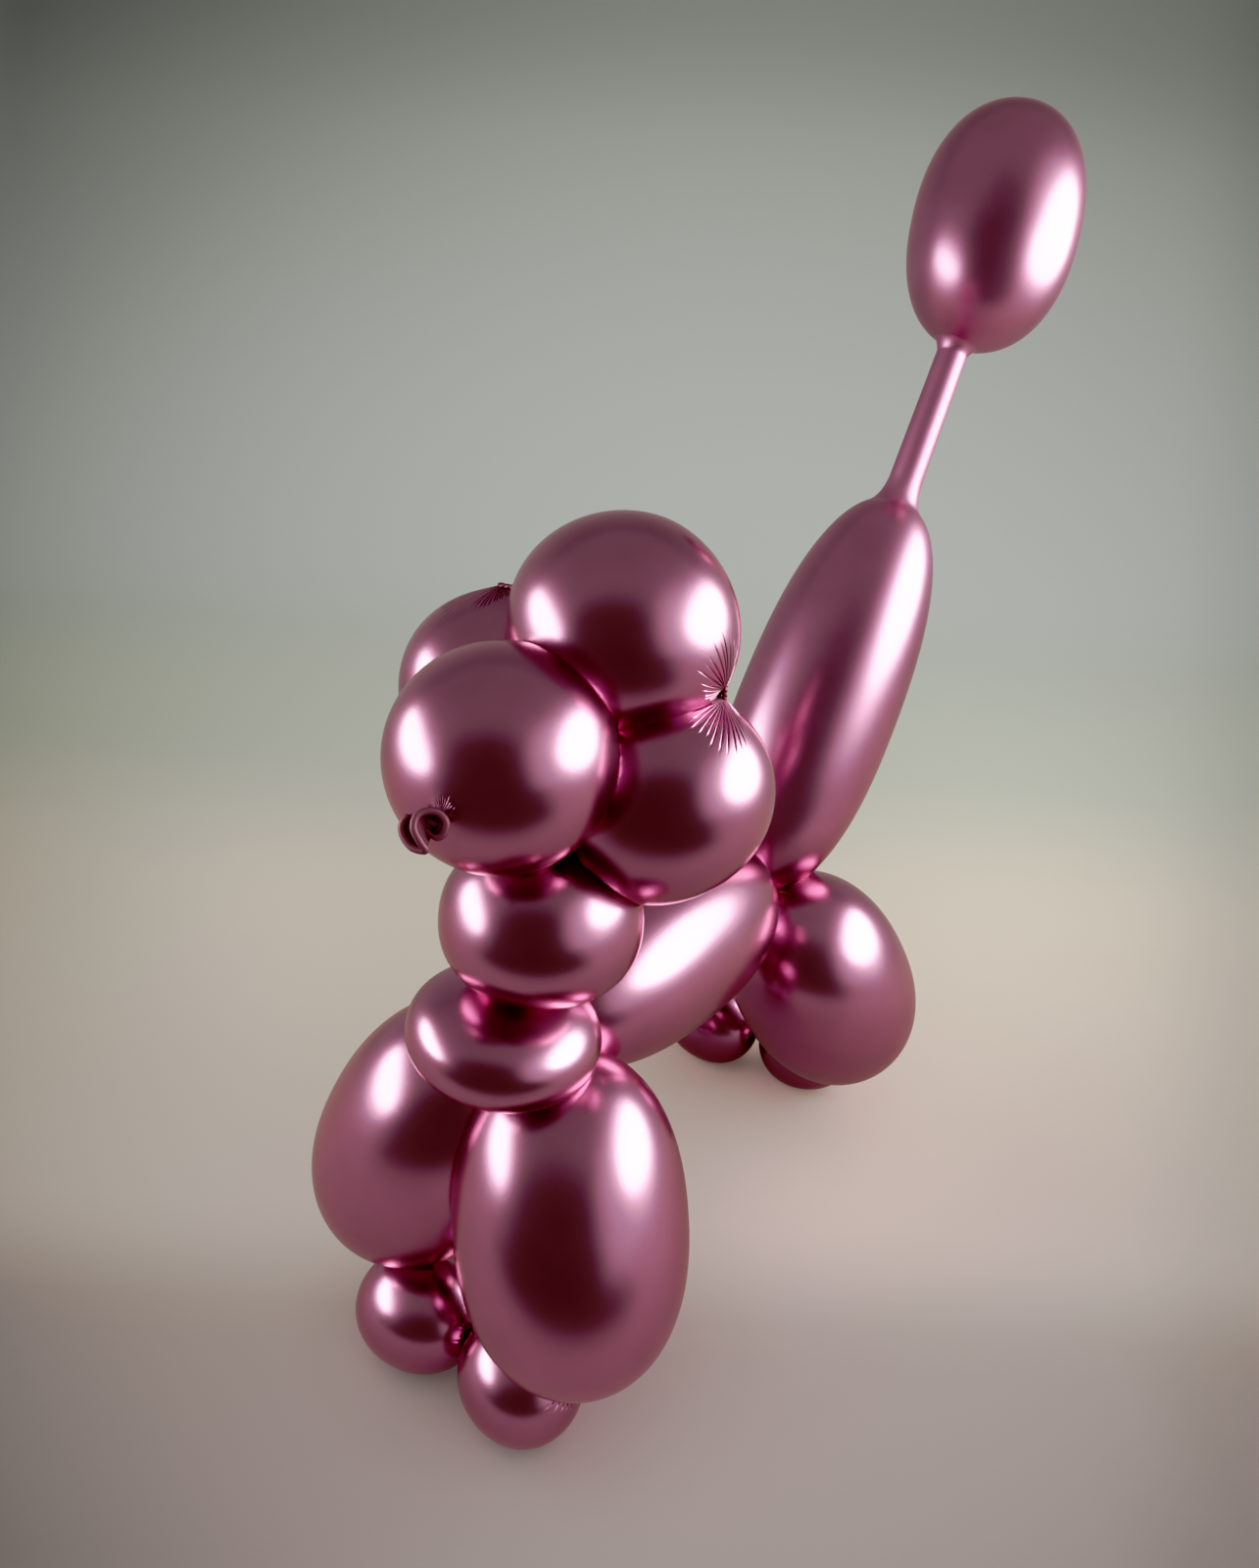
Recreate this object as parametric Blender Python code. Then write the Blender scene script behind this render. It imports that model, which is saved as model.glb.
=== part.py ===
"""Balloon poodle: one long modelling balloon twisted into a standing poodle.

The balloon is a single sealed rubber tube. Twists pinch it into bubbles, and bubbles that
meet press against each other. So the solid is the union of the bubbles, the knuckles of
rubber in the twists, the uninflated stem in the tail and the tied nozzle on the snout.

The dog stands on z = 0 and faces -Y, with its left side at +X. Design sizes are in
millimetres, measured from a point on the floor under the body. The finished solid is moved
so that the origin is the middle of its footprint.
"""
import math

import bmesh
import bpy
from mathutils import Vector

MM = 0.001
NAME = "balloon"

# Widths of the bubbles and of the stem.
LEG_WIDTH = 56.0
FOOT_WIDTH = 30.5
BODY_WIDTH = 51.0
NECK_WIDTH = 45.0
SNOUT_WIDTH = 46.5
EAR_WIDTH = 45.5
TOPKNOT_WIDTH = 48.0
TAIL_WIDTH = 49.0
POMPOM_WIDTH = 49.5
STEM_WIDTH = 9.0

# Fullness of the bubbles: 2 is an ellipsoid, and more is a sausage.
LEG_FULLNESS = 2.25
FOOT_FULLNESS = 2.1
BODY_FULLNESS = 2.35
NECK_FULLNESS = 2.2
SNOUT_FULLNESS = 2.05
EAR_FULLNESS = 2.1
TOPKNOT_FULLNESS = 1.9
TAIL_FULLNESS = 2.4
POMPOM_FULLNESS = 2.25

# The tail narrows by this share of its width from its middle to its upper end.
TAIL_TAPER = 0.06

# Kind of bubble: its width and its fullness.
KINDS = {
    "snout": (SNOUT_WIDTH, SNOUT_FULLNESS),
    "ear": (EAR_WIDTH, EAR_FULLNESS),
    "topknot": (TOPKNOT_WIDTH, TOPKNOT_FULLNESS),
    "neck": (NECK_WIDTH, NECK_FULLNESS),
    "leg": (LEG_WIDTH, LEG_FULLNESS),
    "foot": (FOOT_WIDTH, FOOT_FULLNESS),
    "body": (BODY_WIDTH, BODY_FULLNESS),
    "tail": (TAIL_WIDTH, TAIL_FULLNESS),
    "pompom": (POMPOM_WIDTH, POMPOM_FULLNESS),
}

# The bubbles in the order in which the balloon runs through them, each with its kind, the
# point where it starts and the point where it ends.
BUBBLES = {
    "snout": ("snout", (11.5, -90.5, 181.5), (0.5, -46.0, 182.0)),
    "right_ear": ("ear", (-6.0, -40.0, 158.0), (-32.0, -36.0, 199.0)),
    "topknot": ("topknot", (-13.0, -36.0, 207.0), (36.0, -34.5, 196.0)),
    "left_ear": ("ear", (43.5, -36.0, 183.5), (5.5, -39.0, 150.5)),
    "upper_neck": ("neck", (3.5, -49.5, 156.0), (12.5, -64.5, 122.0)),
    "lower_neck": ("neck", (4.0, -62.0, 122.5), (2.0, -65.5, 97.0)),
    "front_right_leg": ("leg", (-7.5, -53.5, 99.5), (-39.0, -68.0, 27.0)),
    "front_right_foot": ("foot", (-34.5, -76.5, 13.5), (0.5, -72.0, 15.5)),
    "front_left_foot": ("foot", (1.0, -70.0, 15.5), (33.0, -78.5, 13.0)),
    "front_left_leg": ("leg", (37.0, -76.0, 28.0), (9.5, -51.0, 100.0)),
    "body": ("body", (-0.5, -47.5, 101.0), (1.5, 55.0, 92.0)),
    "rear_right_leg": ("leg", (-13.5, 54.0, 94.0), (-39.0, 81.5, 27.0)),
    "rear_right_foot": ("foot", (-36.0, 80.0, 19.5), (-1.5, 81.0, 10.0)),
    "rear_left_foot": ("foot", (0.5, 86.5, 9.0), (32.5, 88.5, 20.5)),
    "rear_left_leg": ("leg", (38.0, 82.0, 25.5), (13.5, 53.5, 93.0)),
    "tail": ("tail", (1.0, 56.5, 89.5), (8.5, 118.5, 201.5)),
    "pompom": ("pompom", (14.0, 143.0, 244.5), (10.0, 167.0, 311.0)),
}

# Every foot is pressed this far into the floor, which leaves it a flat pad.
FLOOR_PRESS = 0.8
FLOOR_BLOCK = 400.0

# A knuckle of twisted rubber sits where one bubble ends and the next one starts. It is
# thicker where bubbles are locked round each other: under the head, chest and hip.
KNUCKLE_WIDTH = 5.0
LOCK_WIDTH = 9.0
STARTS_AT_A_LOCK = ("right_ear", "upper_neck", "front_right_leg", "body", "rear_right_leg", "tail")
MEETING_STEPS = 30

# The stem runs this far into the tail and the pompom. It flares where it leaves them, in a
# long fillet at the tail and a short one at the pompom: added width and length of each.
STEM_SINK = 3.0
TAIL_FLARE = (9.0, 9.0)
POMPOM_FLARE = (4.0, 5.0)
FLARE_FALL = 3.0
STEM_RINGS = 12
STEM_SIDES = 14

# The tied nozzle: a knot in front of the snout and the rolled lip. The lip is a ring that
# folds into two loops, and hangs from the knot towards the dog's right side.
KNOT_WIDTH = 6.0
LIP_WIDTH = 9.6
LIP_BEAD = 2.6
LIP_FOLD = 2.4
LIP_HANG = (-2.6, -3.5, -3.1)

# Facets around a ball and from pole to pole.
LARGE_FACETS = (20, 12)
SMALL_FACETS = (16, 10)
KNUCKLE_FACETS = (8, 5)
LIP_FACETS = (16, 7)

# Corners of the lip's grid that are closer than this are welded.
WELD = 0.01

# A bubble's section is measured from X, or from Y if the bubble points along X.
ALONG_X = 0.8

COLOUR = (0.34, 0.09, 0.16, 1.0)
METALLIC = 1.0
ROUGHNESS = 0.24


def clear_scene():
    """Remove every object, so the script starts from nothing."""
    for item in list(bpy.data.objects):
        bpy.data.objects.remove(item, do_unlink=True)


def new_collection(name):
    """Return a new collection linked to the scene."""
    collection = bpy.data.collections.new(name)
    bpy.context.scene.collection.children.link(collection)
    return collection


def make_material():
    """Return the chrome-finish rubber of the balloon."""
    material = bpy.data.materials.new("chrome_rubber")
    material.use_nodes = True
    shader = material.node_tree.nodes["Principled BSDF"]
    shader.inputs["Base Color"].default_value = COLOUR
    shader.inputs["Metallic"].default_value = METALLIC
    shader.inputs["Roughness"].default_value = ROUGHNESS
    return material


def new_ball(facets, radius=1.0):
    """Return a bmesh ball with its poles on Z."""
    sides, rings = facets
    ball = bmesh.new()
    bmesh.ops.create_uvsphere(ball, u_segments=sides, v_segments=rings, radius=radius)
    return ball


def section_axes(tangent):
    """Return two unit vectors across the tangent that make a right-handed set with it."""
    reference = Vector((1.0, 0.0, 0.0))
    if abs(tangent.x) > ALONG_X:
        reference = Vector((0.0, 1.0, 0.0))
    side = reference.cross(tangent).normalized()
    return side, tangent.cross(side)


def ends_of(name):
    """Return the start and the end of a bubble."""
    _, start, end = BUBBLES[name]
    return Vector(start), Vector(end)


def shape_bubble(name, facets):
    """Return a ball reshaped into a bubble that runs from its start to its end.

    The ball's height z and ring radius r become a superellipse: station sign(z)|z|^(2/n)
    along the bubble and r^(2/n) of half its width, with n the fullness.
    """
    width, fullness = KINDS[BUBBLES[name][0]]
    taper = TAIL_TAPER if name == "tail" else 0.0
    start, end = ends_of(name)
    power = 2 / fullness
    side, other = section_axes((end - start).normalized())
    bubble = new_ball(facets)
    for vertex in bubble.verts:
        x, y, z = vertex.co
        station = math.copysign(min(abs(z), 1.0) ** power, z)
        spread = min(math.hypot(x, y), 1.0) ** power * (1 - taper * station) * width / 2
        angle = math.atan2(y, x)
        centre = start + (end - start) * (1 + station) / 2
        vertex.co = centre + spread * (math.cos(angle) * side + math.sin(angle) * other)
    return bubble


def settle(foot):
    """Move a foot up or down until it is pressed into the floor by the set amount."""
    lowest = min(vertex.co.z for vertex in foot.verts)
    bmesh.ops.translate(foot, verts=foot.verts, vec=(0.0, 0.0, -FLOOR_PRESS - lowest))


def make_bubbles():
    """Return every bubble of the dog as a closed bmesh, by name."""
    bubbles = {}
    for name, (kind, _, _) in BUBBLES.items():
        facets = SMALL_FACETS if kind == "foot" else LARGE_FACETS
        bubbles[name] = shape_bubble(name, facets)
        if kind == "foot":
            settle(bubbles[name])
    return bubbles


def pull_to_skin(name, point):
    """Move a point towards or away from a bubble's middle until it lies on its skin."""
    width, fullness = KINDS[BUBBLES[name][0]]
    start, end = ends_of(name)
    middle = (start + end) / 2
    along = (end - middle).normalized()
    reach = point - middle
    lengthwise = abs(reach.dot(along)) / (end - middle).length
    crosswise = (reach - reach.dot(along) * along).length / (width / 2)
    size = (lengthwise ** fullness + crosswise ** fullness) ** (1 / fullness)
    return middle + reach / size


def meeting_point(first, second):
    """Return a point on both skins, close to where the first bubble ends and the second starts."""
    point = (ends_of(first)[1] + ends_of(second)[0]) / 2
    for _ in range(MEETING_STEPS):
        point = (pull_to_skin(first, point) + pull_to_skin(second, point)) / 2
    return point


def make_knuckles():
    """Return the knuckle of rubber in the twist between each bubble and the next one.

    The pompom has none, because the stem joins it to the tail.
    """
    knuckles = {}
    names = [name for name in BUBBLES if name != "pompom"]
    for first, second in zip(names[:-1], names[1:]):
        width = LOCK_WIDTH if second in STARTS_AT_A_LOCK else KNUCKLE_WIDTH
        knuckle = new_ball(KNUCKLE_FACETS, width / 2)
        bmesh.ops.translate(knuckle, verts=knuckle.verts, vec=meeting_point(first, second))
        knuckles[second + "_twist"] = knuckle
    return knuckles


def flared(distance, flare):
    """Return the width that a flare adds to the stem at a distance from its end."""
    added, length = flare
    return added * math.exp(-FLARE_FALL * (distance / length) ** 2)


def make_stem():
    """Return the uninflated stem: a cylinder that flares where it joins the tail and pompom."""
    start = ends_of("tail")[1]
    end = ends_of("pompom")[0]
    along = (end - start).normalized()
    start = start - STEM_SINK * along
    end = end + STEM_SINK * along
    length = (end - start).length
    side, other = section_axes(along)
    stem = bmesh.new()
    bmesh.ops.create_cone(stem, cap_ends=True, segments=STEM_SIDES, radius1=1.0, radius2=1.0, depth=2.0)
    walls = [edge for edge in stem.edges if edge.verts[0].co.z * edge.verts[1].co.z < 0]
    bmesh.ops.subdivide_edges(stem, edges=walls, cuts=STEM_RINGS)
    for vertex in stem.verts:
        share = (vertex.co.z + 1) / 2
        width = STEM_WIDTH + flared(share * length, TAIL_FLARE) + flared((1 - share) * length, POMPOM_FLARE)
        angle = math.atan2(vertex.co.y, vertex.co.x)
        centre = start + share * (end - start)
        vertex.co = centre + width / 2 * (math.cos(angle) * side + math.sin(angle) * other)
    return stem


def make_nozzle():
    """Return the knot of the tied nozzle and its rolled lip, folded into two loops."""
    tip, back = ends_of("snout")
    outward = (tip - back).normalized()
    across, upward = section_axes(outward)
    centre = tip + Vector(LIP_HANG)
    knot = new_ball(KNUCKLE_FACETS, KNOT_WIDTH / 2)
    bmesh.ops.translate(knot, verts=knot.verts, vec=(tip + centre) / 2)
    around, tube_sides = LIP_FACETS
    lip = bmesh.new()
    bmesh.ops.create_grid(lip, x_segments=around, y_segments=tube_sides, size=1.0)
    for vertex in lip.verts:
        turn = math.pi * vertex.co.x
        roll = math.pi * vertex.co.y
        reach = (LIP_WIDTH - LIP_BEAD + LIP_BEAD * math.cos(roll)) / 2
        lift = LIP_BEAD / 2 * math.sin(roll) - LIP_FOLD * math.cos(turn) ** 2
        vertex.co = centre + reach * (math.cos(turn) * across + math.sin(turn) * upward) + lift * outward
    bmesh.ops.remove_doubles(lip, verts=lip.verts, dist=WELD)
    bmesh.ops.recalc_face_normals(lip, faces=lip.faces)
    return {"nozzle_knot": knot, "nozzle_lip": lip}


def footprint_middle(shapes):
    """Return the middle of the shapes' outline seen from above."""
    xs = [vertex.co.x for shape in shapes.values() for vertex in shape.verts]
    ys = [vertex.co.y for shape in shapes.values() for vertex in shape.verts]
    return Vector(((min(xs) + max(xs)) / 2, (min(ys) + max(ys)) / 2, 0.0))


def to_object(name, shape, middle, collection):
    """Turn a bmesh in millimetres into an object in metres around the footprint's middle."""
    bmesh.ops.translate(shape, verts=shape.verts, vec=-middle)
    bmesh.ops.scale(shape, verts=shape.verts, vec=(MM, MM, MM))
    mesh = bpy.data.meshes.new(name)
    shape.to_mesh(mesh)
    shape.free()
    item = bpy.data.objects.new(name, mesh)
    collection.objects.link(item)
    return item


def hide_tool(item):
    """Mark an object as a tool of the construction, not a part of the dog."""
    item.hide_render = True
    item.display_type = "WIRE"


def make_floor_cutter(middle, collection):
    """Return the block below the floor that flattens the feet."""
    block = bmesh.new()
    bmesh.ops.create_cube(block, size=FLOOR_BLOCK)
    bmesh.ops.translate(block, verts=block.verts, vec=middle - Vector((0.0, 0.0, FLOOR_BLOCK / 2)))
    cutter = to_object("floor_cutter", block, middle, collection)
    hide_tool(cutter)
    return cutter


def join(body, collection, cutter):
    """Join the shapes of a collection to the body, and cut the result flat at the floor."""
    union = body.modifiers.new("join_bubbles", "BOOLEAN")
    union.operation = "UNION"
    union.operand_type = "COLLECTION"
    union.collection = collection
    union.solver = "EXACT"
    cut = body.modifiers.new("flatten_feet", "BOOLEAN")
    cut.operation = "DIFFERENCE"
    cut.object = cutter
    cut.solver = "EXACT"


def build():
    """Build the balloon poodle."""
    clear_scene()
    parts = new_collection("balloon_poodle")
    joined = new_collection("joined_bubbles")
    cutters = new_collection("cutters")
    shapes = make_bubbles()
    shapes.update(make_knuckles())
    shapes["stem"] = make_stem()
    shapes.update(make_nozzle())
    middle = footprint_middle(shapes)
    body = to_object(NAME, shapes.pop("body"), middle, parts)
    for name, shape in shapes.items():
        hide_tool(to_object(name, shape, middle, joined))
    join(body, joined, make_floor_cutter(middle, cutters))
    body.data.materials.append(make_material())
    body.data.shade_smooth()


build()
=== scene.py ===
"""Balloon poodle: the dressed model.

One long modelling balloon of chrome-finish rubber, twisted into a standing poodle. The dog
faces -Y with its left side at +X. Sizes are in millimetres, measured from a point on the
floor under the body, and become metres around the middle of the footprint.
"""
import math
from collections import namedtuple

import bpy
import numpy as np
from mathutils import Matrix, Vector


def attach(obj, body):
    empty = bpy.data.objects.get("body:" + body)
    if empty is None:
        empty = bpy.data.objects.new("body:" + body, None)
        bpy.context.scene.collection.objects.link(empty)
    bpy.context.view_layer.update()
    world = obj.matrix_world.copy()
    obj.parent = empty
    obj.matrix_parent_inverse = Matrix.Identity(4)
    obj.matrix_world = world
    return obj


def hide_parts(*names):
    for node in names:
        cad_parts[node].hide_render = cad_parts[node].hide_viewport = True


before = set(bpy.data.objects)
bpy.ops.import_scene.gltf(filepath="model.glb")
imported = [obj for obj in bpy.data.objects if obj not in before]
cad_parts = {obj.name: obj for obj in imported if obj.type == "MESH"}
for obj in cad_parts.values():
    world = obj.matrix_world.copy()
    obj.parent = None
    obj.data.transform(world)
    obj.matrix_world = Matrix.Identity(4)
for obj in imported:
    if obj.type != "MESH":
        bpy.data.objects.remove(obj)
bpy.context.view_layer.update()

MM = 0.001
# The middle of the footprint, from the point under the body.
FOOTPRINT_MIDDLE = np.array([-0.32, 42.91, 0.0])


# ---------------------------------------------------------------------------
# The camera. It looks down on the dog from its front left, about 30 cm away, through a
# fairly wide lens.
# ---------------------------------------------------------------------------

CAMERA_PLACE = (140.71, -229.86, 282.34)
CAMERA_HEADING = 32.85
CAMERA_TILT_DOWN = 26.64
CAMERA_ROLL = 3.03
CAMERA_LENS = 27.016
CAMERA_SENSOR = 36.0
CAMERA_NEAREST = 0.01


def in_frame(points):
    """Turn design millimetres into metres around the middle of the footprint."""
    return (np.asarray(points, float) - FOOTPRINT_MIDDLE) * MM


camera = bpy.data.objects.new("camera", bpy.data.cameras.new("camera"))
bpy.context.scene.collection.objects.link(camera)
camera.matrix_world = (
    Matrix.Translation(Vector(in_frame(CAMERA_PLACE)))
    @ Matrix.Rotation(math.radians(CAMERA_HEADING), 4, "Z")
    @ Matrix.Rotation(math.radians(90.0 - CAMERA_TILT_DOWN), 4, "X")
    @ Matrix.Rotation(math.radians(CAMERA_ROLL), 4, "Z")
)
camera.data.lens = CAMERA_LENS
camera.data.sensor_width = CAMERA_SENSOR
camera.data.clip_start = CAMERA_NEAREST
bpy.context.scene.camera = camera

# How the camera answers to light: blacks sink a little, and highlights roll off to white.
BRIGHTEST = 3.0
RESPONSE = (
    (0.0, 0.0),
    (0.02, 0.001),
    (0.06, 0.04),
    (0.20, 0.18),
    (0.36, 0.335),
    (0.54, 0.445),
    (0.90, 0.645),
    (1.20, 0.755),
    (1.60, 0.885),
    (2.20, 0.965),
    (3.0, 1.0),
)
view = bpy.context.scene.view_settings
view.view_transform = "Standard"
view.use_curve_mapping = True
view.curve_mapping.white_level = (BRIGHTEST, BRIGHTEST, BRIGHTEST)
all_colours = view.curve_mapping.curves[3].points
while len(all_colours) < len(RESPONSE):
    all_colours.new(0.5, 0.5)
for point, (light, tone) in zip(all_colours, RESPONSE):
    point.location = (light / BRIGHTEST, tone)
view.curve_mapping.update()


# ---------------------------------------------------------------------------
# The paper sweep: one wide sheet that lies on the table and curves up behind the dog.
# It is matt and pale, warm where it lies flat and a cooler grey green further back. Light
# and shade are painted into its colour: a pool of light beside the dog that falls off
# towards the edges, and painted shadows.
# ---------------------------------------------------------------------------

SWEEP_HALF_WIDTH = 1500.0
SWEEP_FRONT = -1100.0
SWEEP_BEND_START = 800.0
SWEEP_BEND_RADIUS = 350.0
SWEEP_HEIGHT = 1300.0
SWEEP_COLUMNS = 160
SWEEP_ROWS = 320
PAPER_ROUGHNESS = 0.9
PAPER_SHEEN = 0.1
# How far along the sheet from below the camera, as a share of the reach, and its colour.
COLOUR_REACH = 1000.0
PAPER_COLOURS = (
    (0.18, (0.667, 0.575, 0.535)),
    (0.26, (0.679, 0.575, 0.503)),
    (0.34, (0.664, 0.575, 0.478)),
    (0.43, (0.650, 0.575, 0.469)),
    (0.60, (0.492, 0.505, 0.418)),
    (0.66, (0.492, 0.510, 0.422)),
    (0.90, (0.490, 0.513, 0.471)),
)

# The painted pool of light. Its places are to the right and downwards, as shares of the
# distance from the viewer. It has a slow and a fast fall, and spreads further up and down.
POOL_STRENGTH = 1.38
POOL_MIDDLE = (0.09, 0.12)
POOL_FALLS = (1.22, 1.07)
POOL_FLATNESS = 0.82
# Small painted glows in it: how far right and down, their reach and their strength.
SIDE_GLOWS = ((0.36, 0.07, 0.21, 0.33), (-0.32, 0.12, 0.11, 0.12), (0.17, 0.30, 0.11, 0.24))
# How far right and down the camera's frame ends. The pool ends between these shares of it.
FRAME_EDGE = (0.545, 0.68)
POOL_END = (1.0, 1.3)
AROUND_POOL = 0.8
# Nothing counts as nearer to the viewer than this.
LEAST_DISTANCE = 60.0

# A painted shade, a fade of the painted light: where it starts, where it ends, and what it
# leaves. To the right and at the top it goes by shares of the distance, and otherwise by
# millimetres.
Fade = namedtuple("Fade", "start end left")
# The painted shade on the paper near the viewer.
NEAR_FADE = Fade(262.0, 220.0, 0.68)
RIGHT_FADE = Fade(0.44, 0.54, 0.88)
TOP_FADE = Fade(0.54, 0.66, 0.86)
HIGH_FADE = Fade(300.0, 1100.0, 0.55)
# The dog's painted shadow on the paper, as the shiny skins see it.
DOG_SHADOW = Fade(260.0, 60.0, 0.80)
# Where the dog stands, in front of the camera and to its right.
DOG_PLACE = (306.0, 30.0)

# The even painted light: on the left, on the right and where the sheet stands up, and the
# distances to the right and above the floor over which it changes.
EVEN_LEFT = 0.80
EVEN_RIGHT = 0.98
EVEN_UPRIGHT = 0.88
LEFT_TO_RIGHT = (-100.0, 300.0)
FLAT_TO_UPRIGHT = (0.0, 100.0)


def link_mesh(name, points, faces, material):
    """Make a smooth object at the origin from points in design millimetres and a list of faces."""
    mesh = bpy.data.meshes.new(name)
    mesh.from_pydata(in_frame(points).tolist(), [], faces)
    mesh.validate()
    mesh.shade_smooth()
    mesh.materials.append(material)
    item = bpy.data.objects.new(name, mesh)
    bpy.context.scene.collection.objects.link(item)
    return item


def add_attribute(item, name, values):
    """Give every point of a mesh a number."""
    layer = item.data.attributes.new(name, "FLOAT", "POINT")
    layer.data.foreach_set("value", np.asarray(values, np.float32).reshape(-1))


def grid_faces(rows, columns):
    """Return the quads of an open grid whose points are listed row by row."""
    corner = np.arange((rows - 1) * columns).reshape(rows - 1, columns)[:, :-1]
    corners = [corner, corner + 1, corner + columns + 1, corner + columns]
    return np.stack(corners, axis=-1).reshape(-1, 4).tolist()


def from_viewer(forward, sideways, height):
    """Turn distances in front of the camera, to its right and above the floor into a place."""
    heading = math.radians(CAMERA_HEADING)
    x = CAMERA_PLACE[0] + sideways * math.cos(heading) - forward * math.sin(heading)
    y = CAMERA_PLACE[1] + sideways * math.sin(heading) + forward * math.cos(heading)
    return np.stack(np.broadcast_arrays(x, y, height), axis=-1)


def soft_step(value, start, end):
    """Return 0 before the start, 1 after the end and a smooth cubic between them."""
    share = np.clip((value - start) / (end - start), 0.0, 1.0)
    return share * share * (3 - 2 * share)


def blend(first, second, share):
    """Return the first where the share is 0, the second where it is 1, and a mix between."""
    return first + (second - first) * share


def faded(value, fade):
    """Return 1 before a fade and what it leaves after it. It may run downwards."""
    return blend(1.0, fade.left, soft_step(value, fade.start, fade.end))


def sweep_profile():
    """Return the way along the sheet, and how far forward and how high it is there.

    It lies flat, turns up through a quarter circle, the angle being the way past the bend's
    start over its radius, and then stands straight.
    """
    bend = SWEEP_BEND_RADIUS * math.pi / 2
    way = np.linspace(SWEEP_FRONT, SWEEP_BEND_START + bend + SWEEP_HEIGHT, SWEEP_ROWS)[:, None]
    turned = np.clip((way - SWEEP_BEND_START) / SWEEP_BEND_RADIUS, 0.0, math.pi / 2)
    forward = np.minimum(way, SWEEP_BEND_START) + SWEEP_BEND_RADIUS * np.sin(turned)
    rise = np.maximum(way - SWEEP_BEND_START - bend, 0.0)
    return way, forward, SWEEP_BEND_RADIUS * (1 - np.cos(turned)) + rise


def pool_light(forward, sideways, height):
    """Return the painted pool of light and shade on the paper for the viewer.

    With s the square of how far a place is from the pool's middle, it is strength times
    e^(-a s - b s^2), a and b being its falls. Each small glow adds its strength times
    e^-(distance / reach)^2 of it.
    """
    tilt = math.radians(CAMERA_TILT_DOWN)
    drop = CAMERA_PLACE[2] - height
    away = np.maximum(forward * math.cos(tilt) + drop * math.sin(tilt), LEAST_DISTANCE)
    right = sideways / away
    down = (drop * math.cos(tilt) - forward * math.sin(tilt)) / away
    spread = (right - POOL_MIDDLE[0]) ** 2 + (POOL_FLATNESS * (down - POOL_MIDDLE[1])) ** 2
    pool = POOL_STRENGTH * np.exp(-POOL_FALLS[0] * spread - POOL_FALLS[1] * spread ** 2)
    for glow_right, glow_down, reach, strength in SIDE_GLOWS:
        glow = ((right - glow_right) ** 2 + (down - glow_down) ** 2) / reach ** 2
        pool = pool * (1 + strength * np.exp(-glow))
    pool = pool * faded(right, RIGHT_FADE) * faded(-down, TOP_FADE)
    in_view = np.maximum(np.abs(right) / FRAME_EDGE[0], np.abs(down) / FRAME_EDGE[1])
    pool = blend(pool, AROUND_POOL, soft_step(in_view, *POOL_END))
    return pool * faded(forward, NEAR_FADE)


def even_light(forward, sideways, height):
    """Return the more even painted light on the paper for the shiny skins, with the dog's painted shadow.
    """
    light = blend(EVEN_LEFT, EVEN_RIGHT, soft_step(sideways, *LEFT_TO_RIGHT))
    from_dog = np.hypot(forward - DOG_PLACE[0], sideways - DOG_PLACE[1])
    light = light * faded(from_dog, DOG_SHADOW)
    light = blend(light, EVEN_UPRIGHT, soft_step(height, *FLAT_TO_UPRIGHT))
    return light * faded(height, HIGH_FADE)


def new_material(name):
    """Return a new material and its tree of nodes."""
    material = bpy.data.materials.new(name)
    material.use_nodes = True
    return material, material.node_tree


def stored(tree, name):
    """Return the number of that name that a mesh's points have, for a material."""
    reader = tree.nodes.new("ShaderNodeAttribute")
    reader.attribute_name = name
    return reader.outputs["Fac"]


def mix_colours(tree, first, second, share, way="MIX"):
    """Return a mix of two colours. They and the share are each a socket or a value."""
    mix = tree.nodes.new("ShaderNodeMix")
    mix.data_type = "RGBA"
    mix.blend_type = way
    for name, value in (("Factor", share), ("A", first), ("B", second)):
        if isinstance(value, bpy.types.NodeSocket):
            tree.links.new(value, mix.inputs[name])
        else:
            mix.inputs[name].default_value = value
    return mix.outputs["Result"]


def make_paper():
    """Matt paper: its colour turns from warm to grey green.

    A painted pool of light and shade scales its colour as the viewer sees it, and a much
    more even painted light as the shiny skins see it.
    """
    material, tree = new_material("studio_paper")
    shader = tree.nodes["Principled BSDF"]
    shader.inputs["Roughness"].default_value = PAPER_ROUGHNESS
    shader.inputs["Specular IOR Level"].default_value = PAPER_SHEEN
    ray = tree.nodes.new("ShaderNodeLightPath")
    light = tree.nodes.new("ShaderNodeMix")
    tree.links.new(ray.outputs["Is Camera Ray"], light.inputs["Factor"])
    tree.links.new(stored(tree, "evenly"), light.inputs["A"])
    tree.links.new(stored(tree, "pool"), light.inputs["B"])
    colour = tree.nodes.new("ShaderNodeValToRGB")
    ramp = colour.color_ramp
    ramp.interpolation = "EASE"
    for place, _ in PAPER_COLOURS[1:-1]:
        ramp.elements.new(place)
    for element, (place, tint) in zip(ramp.elements, PAPER_COLOURS):
        element.position = place
        element.color = (*tint, 1.0)
    tree.links.new(stored(tree, "how_far"), colour.inputs["Fac"])
    lit = mix_colours(tree, colour.outputs["Color"], light.outputs["Result"], 1.0, "MULTIPLY")
    tree.links.new(lit, shader.inputs["Base Color"])
    return material


way, forward, height = sweep_profile()
sideways = np.linspace(-SWEEP_HALF_WIDTH, SWEEP_HALF_WIDTH, SWEEP_COLUMNS)[None, :]
sweep = link_mesh(
    "paper_sweep",
    from_viewer(forward, sideways, height).reshape(-1, 3),
    grid_faces(SWEEP_ROWS, SWEEP_COLUMNS),
    make_paper(),
)
add_attribute(sweep, "how_far", np.broadcast_to(way / COLOUR_REACH, (SWEEP_ROWS, SWEEP_COLUMNS)))
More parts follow.
